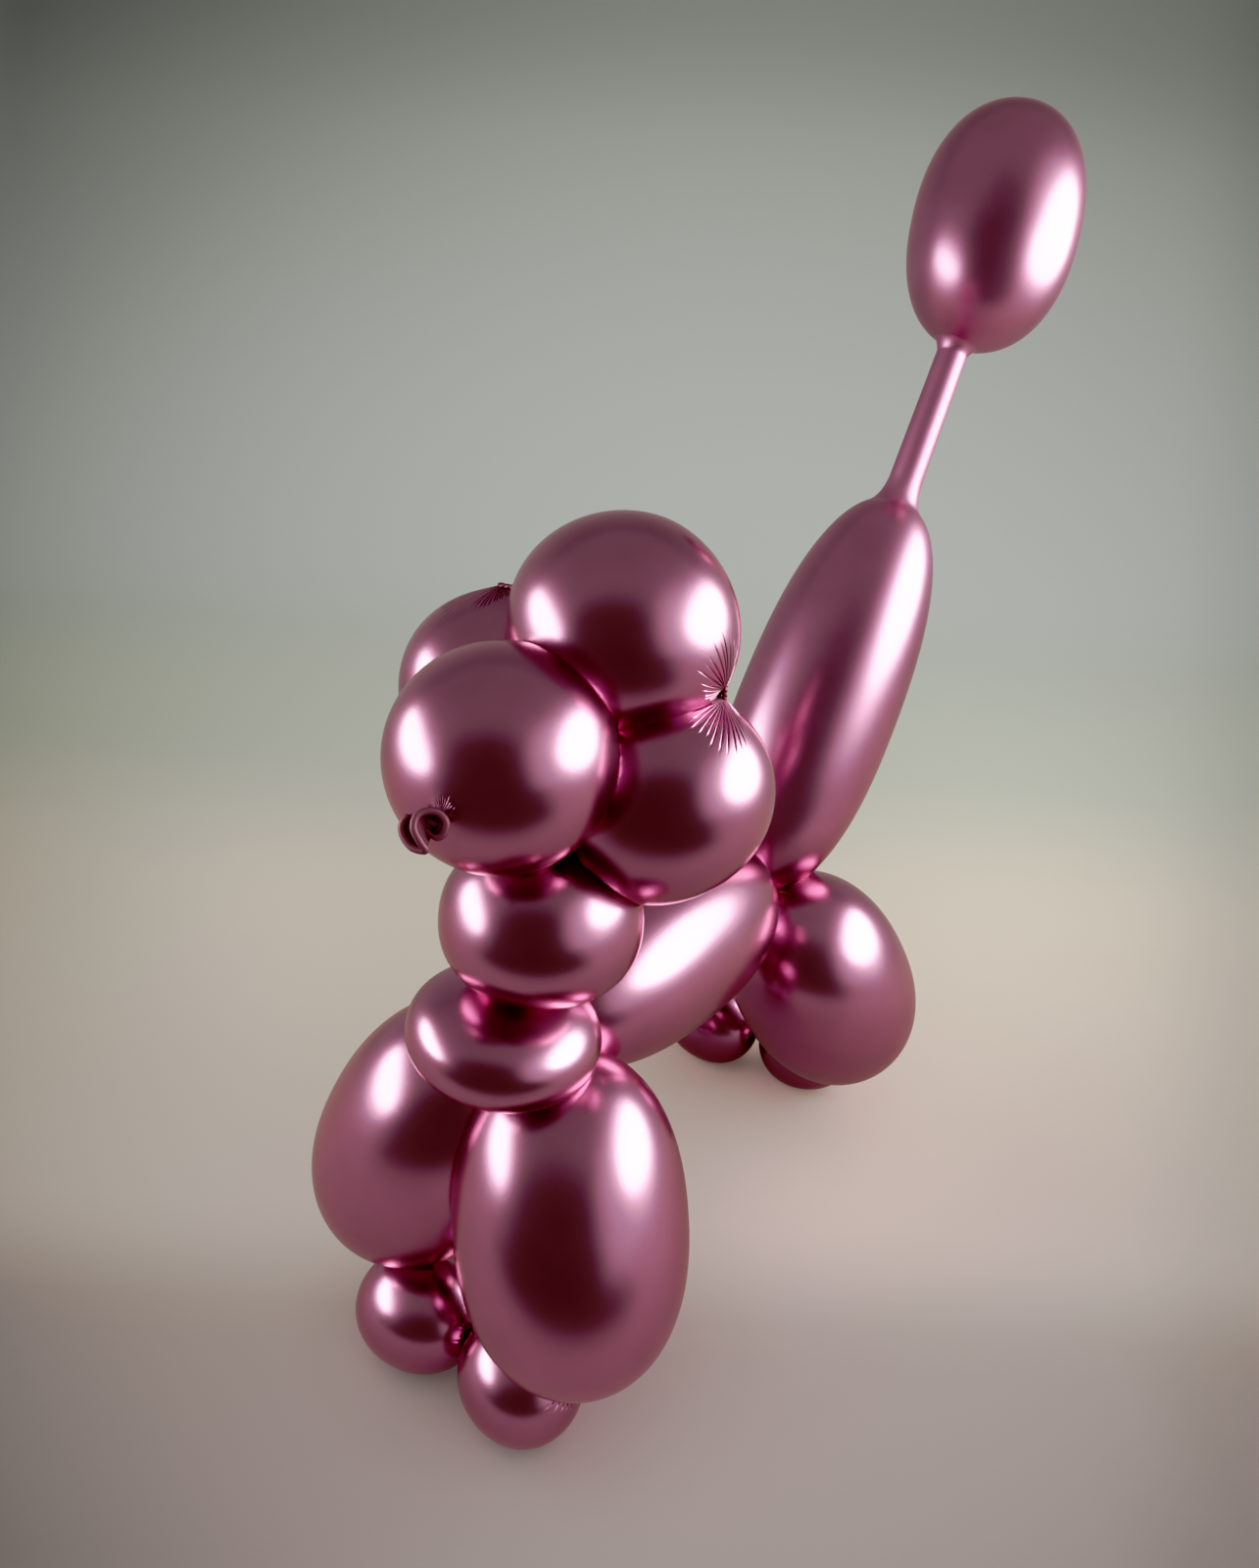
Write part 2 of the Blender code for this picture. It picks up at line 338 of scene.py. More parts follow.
# The painted light and shade that scale the paper's colour.
add_attribute(sweep, "pool", pool_light(forward, sideways, height))
add_attribute(sweep, "evenly", even_light(forward, sideways, height))


# ---------------------------------------------------------------------------
# The dark room behind the camera. Only the shiny skins see it: a painted shadow on the
# floor, a sheet that glows dark brown, and the darker side of the sky.
# ---------------------------------------------------------------------------

# The colour of the painted shadow on the floor, and of the room in the sky.
ROOM_COLOUR = (0.105, 0.095, 0.065, 1.0)
ROOM_FORWARD = (-1100.0, 220.0)
ROOM_HALF_WIDTH = 1500.0
ROOM_LIFT = 0.5
ROOM_ROWS = 90
ROOM_COLUMNS = 90
# The shade thins out over these distances in front of the camera, and over these angles to
# either side of its middle. The middle lies at an angle off the camera, as the dog sees it.
ROOM_EDGE = (-21.0, 129.0)
ROOM_SIDES = (36.0, 58.0)
ROOM_SIDE_ANGLE = -4.0


def make_shade():
    """A painted shadow: a sheet that glows dark brown where its cover is 1, and isn't there where it is
    0.
    """
    material, tree = new_material("room_shade")
    tree.nodes.remove(tree.nodes["Principled BSDF"])
    glow = tree.nodes.new("ShaderNodeEmission")
    glow.inputs["Color"].default_value = ROOM_COLOUR
    clear = tree.nodes.new("ShaderNodeBsdfTransparent")
    either = tree.nodes.new("ShaderNodeMixShader")
    tree.links.new(stored(tree, "cover"), either.inputs["Fac"])
    tree.links.new(clear.outputs["BSDF"], either.inputs[1])
    tree.links.new(glow.outputs["Emission"], either.inputs[2])
    tree.links.new(either.outputs["Shader"], tree.nodes["Material Output"].inputs["Surface"])
    return material


forward = np.linspace(*ROOM_FORWARD, ROOM_ROWS)[:, None]
sideways = np.linspace(-ROOM_HALF_WIDTH, ROOM_HALF_WIDTH, ROOM_COLUMNS)[None, :]
turned_away = np.degrees(np.arctan2(sideways, DOG_PLACE[0] - forward)) - ROOM_SIDE_ANGLE
shade = link_mesh(
    "room_shade",
    from_viewer(forward, sideways, ROOM_LIFT).reshape(-1, 3),
    grid_faces(ROOM_ROWS, ROOM_COLUMNS),
    make_shade(),
)
# How far the painted shadow covers the floor.
cover = (1 - soft_step(forward, *ROOM_EDGE)) * (1 - soft_step(np.abs(turned_away), *ROOM_SIDES))
add_attribute(shade, "cover", cover)
shade.visible_camera = False
shade.visible_diffuse = False
shade.visible_shadow = False


# ---------------------------------------------------------------------------
# The light: an even white sky for the paper, and two soft lamps, one on each side of the
# dog, for the shiny skins. The sky that the skins see is dim, and dark brown behind the
# camera, with a pale halo at one side.
# ---------------------------------------------------------------------------

LAMP_AIM = (5.0, -20.0, 150.0)
# Each lamp: its place, its long and short side, its watts, and how far it leans in degrees.
LAMPS = {
    "left_lamp": ((-325.0, -303.0, 235.0), (400.0, 180.0), 2.0, -18.0),
    "right_lamp": ((425.0, 250.0, 316.0), (600.0, 340.0), 6.4, 0.0),
}
SKY_ON_PAPER = (1.0, 1.0, 1.0, 1.0)
SKY_ON_SKINS = (0.285, 0.285, 0.250, 1.0)
SKY_SEEN = (0.42, 0.43, 0.40, 1.0)
# The room in the sky: how high its middle is and where it thins out, in degrees, and how
# many times wider than high it is.
ROOM_HEIGHT_ANGLE = 9.0
ROOM_REACH = (37.0, 60.0)
ROOM_FLATNESS = 1.6
# The halo, in degrees: how far round from behind the camera, how high, and where it thins out.
HALO_SIDE_ANGLE = 64.0
HALO_HEIGHT_ANGLE = 14.0
HALO_REACH = (0.0, 42.0)
HALO_COLOUR = (0.95, 0.93, 0.90, 1.0)


def hang_lamp(name, place, size, watts, lean):
    """Hang a soft oval panel that faces the dog. Only the shiny skins see it."""
    light = bpy.data.lights.new(name, "AREA")
    light.shape = "ELLIPSE"
    light.size = size[0] * MM
    light.size_y = size[1] * MM
    light.energy = watts
    lamp = bpy.data.objects.new(name, light)
    bpy.context.scene.collection.objects.link(lamp)
    place = Vector(in_frame(place))
    facing = Vector(in_frame(LAMP_AIM)) - place
    turned = facing.to_track_quat("-Z", "Y").to_matrix().to_4x4()
    leant = Matrix.Rotation(math.radians(lean), 4, "Z")
    lamp.matrix_world = Matrix.Translation(place) @ turned @ leant
    lamp.visible_camera = False
    lamp.visible_diffuse = False


def near_direction(tree, direction, turn, lift, reach, ease):
    """Return 1 where a direction is near the given one, and 0 where it is beyond its reach.

    That one is turned from straight behind the camera and lifted, in degrees. The change
    between the two ends of the reach follows the cosine of the angle to it.
    """
    turn = math.radians(CAMERA_HEADING + turn)
    lift = math.radians(lift)
    cosine = tree.nodes.new("ShaderNodeVectorMath")
    cosine.operation = "DOT_PRODUCT"
    cosine.inputs[1].default_value = (
        math.sin(turn) * math.cos(lift),
        -math.cos(turn) * math.cos(lift),
        math.sin(lift),
    )
    tree.links.new(direction, cosine.inputs[0])
    near = tree.nodes.new("ShaderNodeMapRange")
    near.interpolation_type = ease
    near.inputs["From Min"].default_value = math.cos(math.radians(reach[1]))
    near.inputs["From Max"].default_value = math.cos(math.radians(reach[0]))
    tree.links.new(cosine.outputs["Value"], near.inputs["Value"])
    return near.outputs["Result"]


def make_sky():
    """White for the paper, plain grey for the viewer, and dim for the skins, by kind of ray."""
    world = bpy.data.worlds.new("sky")
    world.use_nodes = True
    tree = world.node_tree
    direction = tree.nodes.new("ShaderNodeTexCoord").outputs["Generated"]
    flattened = tree.nodes.new("ShaderNodeVectorMath")
    flattened.operation = "MULTIPLY"
    flattened.inputs[1].default_value = (1.0, 1.0, ROOM_FLATNESS)
    tree.links.new(direction, flattened.inputs[0])
    evened = tree.nodes.new("ShaderNodeVectorMath")
    evened.operation = "NORMALIZE"
    tree.links.new(flattened.outputs["Vector"], evened.inputs[0])
    low = evened.outputs["Vector"]
    room = near_direction(tree, low, ROOM_SIDE_ANGLE, ROOM_HEIGHT_ANGLE, ROOM_REACH, "SMOOTHSTEP")
    halo = near_direction(tree, direction, HALO_SIDE_ANGLE, HALO_HEIGHT_ANGLE, HALO_REACH, "SMOOTHERSTEP")
    on_skins = mix_colours(tree, SKY_ON_SKINS, ROOM_COLOUR, room)
    on_skins = mix_colours(tree, on_skins, HALO_COLOUR, halo)
    ray = tree.nodes.new("ShaderNodeLightPath")
    shining = mix_colours(tree, SKY_ON_PAPER, on_skins, ray.outputs["Is Glossy Ray"])
    seen = mix_colours(tree, shining, SKY_SEEN, ray.outputs["Is Camera Ray"])
    tree.links.new(seen, tree.nodes["Background"].inputs["Color"])
    return world


for name, (place, size, watts, lean) in LAMPS.items():
    hang_lamp(name, place, size, watts, lean)
bpy.context.scene.world = make_sky()


# ---------------------------------------------------------------------------
# The rubber: latex filled with mirror pigment in mauve, under its own clear smooth skin.
# Where it is hardly stretched, at the twists and in the stem, it is duller and deeper.
# ---------------------------------------------------------------------------

# Slack and stretched: the colour, the roughness and how metallic it is. The last two are
# those of stretched rubber from a share of the full stretch on.
MAUVE_SLACK = (0.23, 0.084, 0.117, 1.0)
MAUVE_STRETCHED = (0.50, 0.195, 0.315, 1.0)
SHINE_SLACK = 0.6
SHINE_STRETCHED = 0.25
METAL_SLACK = 0.7
METAL_STRETCHED = 1.0
SLACK_BELOW = 0.6
# The tint of the mirror pigment where it is seen at a slant.
EDGE_TINT = (1.0, 0.80, 0.78, 1.0)
# The clear skin: how strong it is at full stretch, and its roughness.
GLOSS_COAT = 0.25
COAT_ROUGHNESS = 0.15
# Clouds and grain: how many to the metre, and their detail. Then the clouds' contrast and
# depth, and the grain's strength and height in metres.
CLOUDS = (90.0, 4.0)
GRAIN = (1400.0, 3.0)
CLOUD_CONTRAST = (0.3, 0.7)
CLOUD_DEPTH = (0.94, 1.05)
GRAIN_STRENGTH = 0.12
GRAIN_HEIGHT = 0.00005


def noise(tree, scale, detail):
    """Return an even noise that fills the rubber, by the place in its own metres."""
    place = tree.nodes.new("ShaderNodeTexCoord")
    texture = tree.nodes.new("ShaderNodeTexNoise")
    texture.inputs["Scale"].default_value = scale
    texture.inputs["Detail"].default_value = detail
    tree.links.new(place.outputs["Object"], texture.inputs["Vector"])
    return texture.outputs["Fac"]


def changing(tree, value, start, end, first, last):
    """Return a value that goes from first to last as another goes from start to end."""
    change = tree.nodes.new("ShaderNodeMapRange")
    change.inputs["From Min"].default_value = start
    change.inputs["From Max"].default_value = end
    change.inputs["To Min"].default_value = first
    change.inputs["To Max"].default_value = last
    tree.links.new(value, change.inputs["Value"])
    return change.outputs["Result"]


def make_chrome_rubber():
    """Metallic mauve rubber with a fine grain, faint clouds in the pigment and a clear skin.

    Its colour is that of full stretch where the rubber is stretched or lies thick.
    """
    material, tree = new_material("chrome_rubber_skin")
    shader = tree.nodes["Principled BSDF"]
    shader.inputs["Coat Roughness"].default_value = COAT_ROUGHNESS
    shader.inputs["Specular Tint"].default_value = EDGE_TINT
    stretch = stored(tree, "stretch")

    full_colour = tree.nodes.new("ShaderNodeMath")
    full_colour.operation = "MAXIMUM"
    tree.links.new(stretch, full_colour.inputs[0])
    tree.links.new(stored(tree, "thick"), full_colour.inputs[1])
    pigment = mix_colours(tree, MAUVE_SLACK, MAUVE_STRETCHED, full_colour.outputs["Value"])
    clouds = changing(tree, noise(tree, *CLOUDS), *CLOUD_CONTRAST, *CLOUD_DEPTH)
    clouded = mix_colours(tree, pigment, clouds, 1.0, "MULTIPLY")
    tree.links.new(clouded, shader.inputs["Base Color"])

    shine = changing(tree, stretch, 0.0, SLACK_BELOW, SHINE_SLACK, SHINE_STRETCHED)
    tree.links.new(shine, shader.inputs["Roughness"])
    metal = changing(tree, stretch, 0.0, SLACK_BELOW, METAL_SLACK, METAL_STRETCHED)
    tree.links.new(metal, shader.inputs["Metallic"])
    gloss = tree.nodes.new("ShaderNodeMath")
    gloss.operation = "MULTIPLY"
    gloss.inputs[1].default_value = GLOSS_COAT
    tree.links.new(stretch, gloss.inputs[0])
    tree.links.new(gloss.outputs["Value"], shader.inputs["Coat Weight"])

    relief = tree.nodes.new("ShaderNodeBump")
    relief.inputs["Strength"].default_value = GRAIN_STRENGTH
    relief.inputs["Distance"].default_value = GRAIN_HEIGHT
    tree.links.new(noise(tree, *GRAIN), relief.inputs["Height"])
    tree.links.new(relief.outputs["Normal"], shader.inputs["Normal"])
    return material


chrome_rubber = make_chrome_rubber()


# ---------------------------------------------------------------------------
# The run of the balloon: 17 bubbles blown in one sealed tube. Each is given by its kind,
# which sets its width and fullness, and by the points where it starts and ends.
# ---------------------------------------------------------------------------

# Kind of bubble: its width and its fullness. 2 is an ellipsoid, and more is a sausage.
KINDS = {
    "snout": (46.5, 2.05),
    "ear": (45.5, 2.1),
    "topknot": (48.0, 1.9),
    "neck": (45.0, 2.2),
    "leg": (56.0, 2.25),
    "foot": (30.5, 2.1),
    "body": (51.0, 2.35),
    "tail": (49.0, 2.4),
    "pompom": (49.5, 2.25),
}
# How much wider the tail is at its root than in its middle, as a share.
TAIL_TAPER = 0.06
RUN = {
    "snout": ("snout", (11.5, -90.5, 181.5), (0.5, -46.0, 182.0)),
    "right_ear": ("ear", (-6.0, -40.0, 158.0), (-32.0, -36.0, 199.0)),
    "topknot": ("topknot", (-13.0, -36.0, 207.0), (36.0, -34.5, 196.0)),
    "left_ear": ("ear", (43.5, -36.0, 183.5), (5.5, -39.0, 150.5)),
    "upper_neck": ("neck", (3.5, -49.5, 156.0), (12.5, -64.5, 122.0)),
    "lower_neck": ("neck", (4.0, -62.0, 122.5), (2.0, -65.5, 97.0)),
    "front_right_leg": ("leg", (-7.5, -53.5, 99.5), (-39.0, -68.0, 27.0)),
    "front_right_foot": ("foot", (-34.5, -76.5, 13.4), (0.5, -72.0, 15.4)),
    "front_left_foot": ("foot", (1.0, -70.0, 15.7), (33.0, -78.5, 13.2)),
    "front_left_leg": ("leg", (37.0, -76.0, 28.0), (9.5, -51.0, 100.0)),
    "body": ("body", (-0.5, -47.5, 101.0), (1.5, 55.0, 92.0)),
    "rear_right_leg": ("leg", (-13.5, 54.0, 94.0), (-39.0, 81.5, 27.0)),
    "rear_right_foot": ("foot", (-36.0, 80.0, 19.5), (-1.5, 81.0, 10.0)),
    "rear_left_foot": ("foot", (0.5, 86.5, 9.0), (32.5, 88.5, 20.5)),
    "rear_left_leg": ("leg", (38.0, 82.0, 25.5), (13.5, 53.5, 93.0)),
    "tail": ("tail", (1.0, 56.5, 89.5), (8.5, 118.5, 201.5)),
    "pompom": ("pompom", (14.0, 143.0, 244.5), (10.0, 167.0, 311.0)),
}
# Keeps a division by a length of nothing harmless.
TINY = 1e-9

Bubble = namedtuple("Bubble", "middle half axes radius fullness taper")


def unit(vectors):
    """Return the vectors with length one."""
    return vectors / (np.linalg.norm(vectors, axis=-1, keepdims=True) + TINY)


def across(direction):
    """Return a unit vector at right angles to a direction."""
    direction = np.asarray(direction, float)
    reference = np.eye(3)[np.argmin(np.abs(direction))]
    return unit(np.cross(reference, direction))


def blow(name):
    """Return a bubble of the run: its middle, half length, axes, radius, fullness and taper."""
    kind, start, end = RUN[name]
    width, fullness = KINDS[kind]
    start, end = np.array(start), np.array(end)
    along = unit(end - start)
    side = across(along)
    axes = np.stack([side, np.cross(along, side), along])
    half = np.linalg.norm(end - start) / 2
    taper = TAIL_TAPER if kind == "tail" else 0.0
    return Bubble((start + end) / 2, half, axes, width / 2, fullness, taper)


def depth_and_outward(bubble, points):
    """Return how deep points lie below a bubble's skin, and the direction outwards there.

    With z the station and r the spread as shares of half length and radius, a point's size is
    (|z|^n + r^n)^(1/n), n the fullness. Its depth is (1 - size) over the slope of size.
    """
    local = (points - bubble.middle) @ bubble.axes.T
    z = local[..., 2] / bubble.half
    narrowing = 1 - bubble.taper * z
    radius = bubble.radius * narrowing
    x = local[..., 0] / radius
    y = local[..., 1] / radius
    r = np.hypot(x, y) + TINY
    n = bubble.fullness
    size = (np.abs(z) ** n + r ** n) ** (1 / n) + TINY
    by_r = (r / size) ** (n - 1)
    by_z = (np.abs(z) / size) ** (n - 1) * np.sign(z) / bubble.half
    by_z = by_z + by_r * r * bubble.taper / (narrowing * bubble.half)
    slope = np.stack([by_r * x / r / radius, by_r * y / r / radius, by_z], axis=-1) @ bubble.axes
    steepness = np.linalg.norm(slope, axis=-1) + TINY
    return (1 - size) / steepness, slope / steepness[..., None]


bubbles = {name: blow(name) for name in RUN}


# ---------------------------------------------------------------------------
# The twists. The tube is turned several times between two bubbles, so each skin is drawn to
# the twist in fine pleats. The twists that lie outside, and one in the neck, are listed, and
# the others lie where two skins meet.
# ---------------------------------------------------------------------------

MEETING_STEPS = 40
# How far back from the place where two skins meet each of them ends.
TWIST_SINK = 1.5
# Where the tube is tied off, at the snout's tip.
NOZZLE_KNOT = (11.1, -91.5, 180.3)

# First bubble, second bubble: where the skin of each ends in the twist between them.
OPEN_TWISTS = {
    ("topknot", "left_ear"): ((35.5, -33.2, 193.5), (35.0, -32.1, 191.2)),
    ("right_ear", "topknot"): ((-20.4, -36.8, 204.2), (-16.4, -36.3, 204.4)),
    ("front_left_foot", "front_left_leg"): ((31.6, -71.8, 23.0), (34.3, -74.2, 26.4)),
    ("upper_neck", "lower_neck"): ((6.2, -55.0, 120.6), (6.0, -55.5, 120.0)),
}


def on_skin(name, point):
    """Move a point along the line to a bubble's middle to its skin, with no taper."""
    bubble = bubbles[name]
    local = (point - bubble.middle) @ bubble.axes.T
    n = bubble.fullness
    spread = np.hypot(local[0], local[1]) / bubble.radius
    size = (abs(local[2] / bubble.half) ** n + spread ** n) ** (1 / n)
    return bubble.middle + (point - bubble.middle) / size


def twist_between(first, second):
    """Return where the first skin ends and where the second one starts."""
    if (first, second) in OPEN_TWISTS:
        return tuple(np.array(point) for point in OPEN_TWISTS[first, second])
    point = (np.array(RUN[first][2]) + np.array(RUN[second][1])) / 2
    for _ in range(MEETING_STEPS):
        point = (on_skin(first, point) + on_skin(second, point)) / 2
    _, out_of_first = depth_and_outward(bubbles[first], point)
    _, out_of_second = depth_and_outward(bubbles[second], point)
    sink = TWIST_SINK * unit(out_of_first - out_of_second)
    return point - sink, point + sink


# Where each skin starts and stops. The tail runs into the pompom without a twist.
order = list(RUN)
twists = {(a, b): twist_between(a, b) for a, b in zip(order[:-2], order[1:-1])}
starts = {b: ends[1] for (a, b), ends in twists.items()}
stops = {a: ends[0] for (a, b), ends in twists.items()}
starts["snout"] = np.array(NOZZLE_KNOT)


# ---------------------------------------------------------------------------
# The skin of a bubble: a grid from the twist where it starts to the twist where it ends.
# Where it presses on another bubble, or on the floor, it goes flat.
# ---------------------------------------------------------------------------

# How much closer the rings are at the poles: 0 is evenly spaced, and 1 closest.
POLE_CROWDING = 0.7
# Two poles whose directions add up to less than this are opposite.
OPPOSITE_POLES = 1e-3
# How softly a skin turns up off the floor.
FLOOR_SOFTNESS = 0.35
# An overlap is divided by 1 plus how squarely the two skins face each other, and by this at
# least.
LEAST_LEAN = 0.35
# How far a skin swells towards a neighbour that it touches, and over what gap that fades.
SKIN_SWELL = 0.8
SWELL_REACH = 2.0
# How far from a twist the rubber stays slack, and how sharply the shift to a twist fades.
SLACK_REACH = 2.0
DRAW_POWER = 1.3
DENT_PLACE = (34.5, -33.8, 192.4)
DENT_DEPTH = 1.5
DENT_REACH = 1.0

# Pleats round a twist: how many, their depth and length, the share of the ring that their
# grooves take, how far round the twist the skin is drawn, the seed of their chances, and the
# direction in which they run longest.
Pleats = namedtuple("Pleats", "count depth length groove draw seed lean", defaults=(None,))
USUAL = Pleats(20, 0.45, 11.0, 0.55, 2.6, 1)
# How wide a groove is at its root, the share of that which it keeps at its far end, and how
# near to the twist its share of the ring stops growing.
GROOVE_WIDTH = 0.5
GROOVE_END = 0.35
LEAST_RING_RADIUS = 0.1
# A groove's share of the ring, over its half width: under 2, because its edges are faint.
GROOVE_SPAN = 1.8
# The share of its length over which a groove runs out.
RUN_OUT = 0.3
# Pleats that run longest in one direction: the shortest one's share of the length, and how
# sharply they favour the direction.
LEAST_LENGTH = 0.22
LEAN_SHARPNESS = 3
# Between what shares chance moves a pleat's place, and scales its depth and length.
PLACE_CHANCE = (-0.2, 0.2)
DEPTH_CHANCE = (0.7, 1.1)
LENGTH_CHANCE = (0.85, 1.1)


def skin_grid(bubble, first, last, rows, columns):
    """Return a bubble's bare skin as rows of rings from one pole to the other.

    A unit ball has rings round the axis a that joins the poles' directions, with b between
    them. Its points d are slid over the ball until the poles reach their own places:
    ((1 + c) - k^2 (1 - c)) b + 2 k (d - c b), over ((1 + c) + k^2 (1 - c)), with c = d.b and
    k = tan(quarter of the angle between the poles). The ball is then blown up to the bubble.
    """
    reach = np.array([bubble.radius, bubble.radius, bubble.half])
    poles = unit(((np.stack([first, last]) - bubble.middle) @ bubble.axes.T) / reach)
    angle = math.acos(np.clip(poles[0] @ poles[1], -1.0, 1.0))
    a = unit(poles[1] - poles[0])
    between = poles[0] + poles[1]
    b = unit(between) if np.linalg.norm(between) > OPPOSITE_POLES else across(a)
    e = np.cross(a, b)
    share = np.linspace(0.0, 1.0, rows)
    theta = math.pi * (share - POLE_CROWDING * np.sin(2 * math.pi * share) / (2 * math.pi))
    phi = np.linspace(0.0, 2 * math.pi, columns, endpoint=False)
    theta, phi = theta[:, None, None], phi[None, :, None]
    d = -np.cos(theta) * a + np.sin(theta) * (np.cos(phi) * b + np.sin(phi) * e)
    c = (d @ b)[..., None]
    k = math.tan(angle / 4)
    d = (((1 + c) - k * k * (1 - c)) * b + 2 * k * (d - c * b)) / ((1 + c) + k * k * (1 - c))
    n = bubble.fullness
    size = (np.abs(d[..., 2]) ** n + np.hypot(d[..., 0], d[..., 1]) ** n) ** (1 / n)
    d = d / size[..., None]
    narrowing = 1 - bubble.taper * d[..., 2]
    local = np.stack([d[..., 0] * narrowing, d[..., 1] * narrowing, d[..., 2]], axis=-1) * reach
    return bubble.middle + local @ bubble.axes


def pressed(value, softness):
    """Return max(value, 0) with a soft corner: softness times log(1 + e^(value / softness))."""
    return softness * np.logaddexp(0.0, value / softness)


def press_on_neighbours(name, points):
    """Flatten a skin against the other bubbles: half of each overlap goes to either skin.

    Where it faces a close neighbour it also swells towards it, by the swell times
    e^(-gap / reach), so that the crease between the two is shallow.
    """
    _, outward = depth_and_outward(bubbles[name], points)
    moved = np.zeros_like(points)
    for other, neighbour in bubbles.items():
        if other == name:
            continue
        depth, away = depth_and_outward(neighbour, points)
        facing = -np.sum(outward * away, axis=-1)
        step = np.maximum(depth, 0.0) / np.maximum(1 + facing, LEAST_LEAN)
        step -= SKIN_SWELL * np.exp(np.minimum(depth, 0.0) / SWELL_REACH) * np.clip(facing, 0.0, 1.0)
        moved += step[..., None] * away
    points = points + moved
    points[..., 2] = pressed(points[..., 2], FLOOR_SOFTNESS)
    return points


def grid_normals(points):
    """Return the outward unit normals of a grid of rings: its two slopes crossed."""
    along = np.gradient(points, axis=0)
    round_it = np.roll(points, -1, axis=1) - np.roll(points, 1, axis=1)
    normals = unit(np.cross(round_it, along))
    middle = points.reshape(-1, 3).mean(axis=0)
    outward = np.sum(normals * (points - middle), axis=-1).mean()
    return normals if outward > 0 else -normals


def sink_dent(points):
    """Sink the small dent beside the topknot's left twist: depth times e^-(distance / reach)^2."""
    distance = np.linalg.norm(points - np.array(DENT_PLACE), axis=-1)
    sunk = DENT_DEPTH * np.exp(-((distance / DENT_REACH) ** 2))
    return points - sunk[..., None] * grid_normals(points)


def draw_to(points, pole_row, target, draw):
    """Draw a skin to its twist, by a shift that fades as e^-(distance / draw)^1.3."""
    pole = points[pole_row, 0].copy()
    distance = np.linalg.norm(points - pole, axis=-1)
    weight = np.exp(-((distance / draw) ** DRAW_POWER))
    return points + weight[..., None] * (target - pole)


def pleat_depth(points, pole_row, pleats):
    """Return the depth of the pleats round a pole, as grooves that run straight from it.

    Every groove is a squared cosine hump across its width, and has its own depth and length. It
    is never deeper than the space between two of them, and narrows and runs out at its length.
    """
    arm = points - points[pole_row, 0]
    distance = np.linalg.norm(arm, axis=-1)
    favour = np.ones_like(distance)
    if pleats.lean is not None:
        facing = (1 + unit(arm) @ unit(np.array(pleats.lean, float))) / 2
        favour = blend(LEAST_LENGTH, 1.0, facing ** LEAN_SHARPNESS)
    chance = np.random.default_rng(pleats.seed)
    places = (np.arange(pleats.count) + chance.uniform(*PLACE_CHANCE, pleats.count)) / pleats.count
    depths = pleats.depth * chance.uniform(*DEPTH_CHANCE, pleats.count)
    lengths = pleats.length * chance.uniform(*LENGTH_CHANCE, pleats.count)
    left_over = np.clip(1 - distance[..., None] / (lengths * favour[..., None]), 0.0, 1.0)
    ring = 2 * math.pi * np.maximum(distance, LEAST_RING_RADIUS)[..., None]
    widest = GROOVE_WIDTH * blend(GROOVE_END, 1.0, left_over) / ring
    half = np.minimum(pleats.groove / pleats.count / GROOVE_SPAN, widest)
    turn = np.arange(points.shape[1]) / points.shape[1]
    apart = (turn[:, None] - places[None, :] + 0.5) % 1.0 - 0.5
    hump = np.cos(math.pi / 2 * np.clip(apart[None] / half, -1.0, 1.0)) ** 2
    deepest = 2 * math.pi * distance[..., None] / pleats.count
    return np.sum(hump * soft_step(left_over, 0.0, RUN_OUT) * np.minimum(depths, deepest), axis=-1)


def skin_order(grid):
    """List a grid of rings as a skin's mesh does: the rings, then the two poles."""
    rings = grid[1:-1].reshape(-1, *grid.shape[2:])
    return np.concatenate([rings, grid[0, :1], grid[-1, :1]])


def skin_faces(rows, columns):
    """Return the faces of a closed grid: quads between the rings and a fan at each pole."""
    inner = rows - 2
    ring = np.arange(columns)
    following = (ring + 1) % columns
    row = np.arange(inner - 1)[:, None] * columns
    corners = [row + ring, row + following, row + columns + following, row + columns + ring]
    last = (inner - 1) * columns
    first_pole = np.full(columns, inner * columns)
    first_fan = np.stack([first_pole, following, ring], axis=-1)
    last_fan = np.stack([first_pole + 1, last + ring, last + following], axis=-1)
    quads = np.stack(corners, axis=-1).reshape(-1, 4)
    return quads.tolist() + first_fan.tolist() + last_fan.tolist()


def finish_rubber(name, points, faces, stretch):
    """Make a piece of the balloon: its faces are turned outwards if its volume is negative."""
    quads = points[np.array([face for face in faces if len(face) == 4])]
    normal = np.cross(quads[:, 2] - quads[:, 0], quads[:, 3] - quads[:, 1])
    if np.sum(normal * (quads.mean(axis=1) - points.mean(axis=0))) < 0:
        faces = [face[::-1] for face in faces]
    piece = link_mesh(name, points, faces, chrome_rubber)
    add_attribute(piece, "stretch", stretch)
    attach(piece, "root")
    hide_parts("balloon")
    return piece


def finish_skin(name, points, stretch):
    """Make the piece from a grid of rings whose first and last rows are single points."""
    return finish_rubber(name, skin_order(points), skin_faces(*points.shape[:2]), skin_order(stretch))


def bubble_points(name, grid, first_pleats, last_pleats):
    """Return a bubble's finished skin and its stretch, from 0 in the twists to 1."""
    points = skin_grid(bubbles[name], starts[name], stops[name], *grid)
    points = press_on_neighbours(name, points)
    points = draw_to(points, 0, starts[name], first_pleats.draw)
    points = draw_to(points, -1, stops[name], last_pleats.draw)
    if name == "topknot":
        points = sink_dent(points)
    normals = grid_normals(points)
    depth = pleat_depth(points, 0, first_pleats) + pleat_depth(points, -1, last_pleats)
    from_first = np.linalg.norm(points - points[0, 0], axis=-1)
    from_last = np.linalg.norm(points - points[-1, 0], axis=-1)
    nearest = np.minimum(from_first, from_last)
    return points - depth[..., None] * normals, 1 - np.exp(-nearest / SLACK_REACH)


